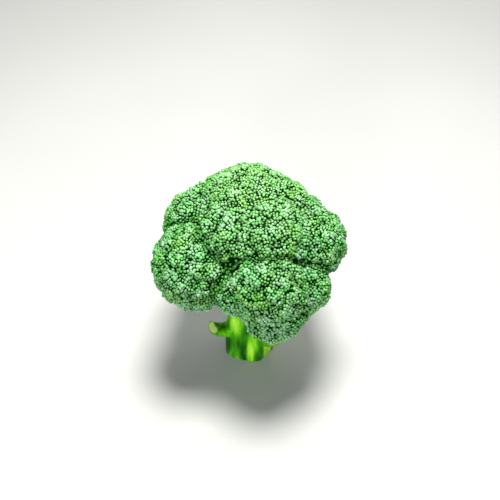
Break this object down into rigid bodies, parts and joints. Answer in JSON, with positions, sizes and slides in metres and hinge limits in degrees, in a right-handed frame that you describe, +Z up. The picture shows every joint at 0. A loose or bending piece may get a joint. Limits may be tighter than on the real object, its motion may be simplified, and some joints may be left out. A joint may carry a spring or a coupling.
{
  "type": "broccoli head",
  "caption": "Head of green broccoli as picked: round florets covered in small flower buds on a forked stalk with a flat cut end to stand on.",
  "frame": {"origin": "centre of the stalk's flat cut", "axes": "+Z up along the stalk towards the crown; -Y towards the side seen in the picture"},
  "size_m": [0.1426, 0.1471, 0.1679],
  "materials": {
    "stalk": "satin",
    "buds": "matte"
  },
  "bodies": {
    "root": {"stalk": "stalk", "floret_top": "buds", "floret_top_right": "buds", "floret_mid": "buds", "floret_mid_left": "buds", "floret_left": "buds", "floret_right": "buds", "floret_left_front": "buds", "floret_front": "buds", "floret_front_left": "buds", "floret_front_right": "buds", "floret_front_low": "buds", "floret_back": "buds", "floret_back_right": "buds", "floret_back_left": "buds", "floret_left_low": "buds", "floret_right_low": "buds", "floret_back_low": "buds"}
  },
  "joints": []
}
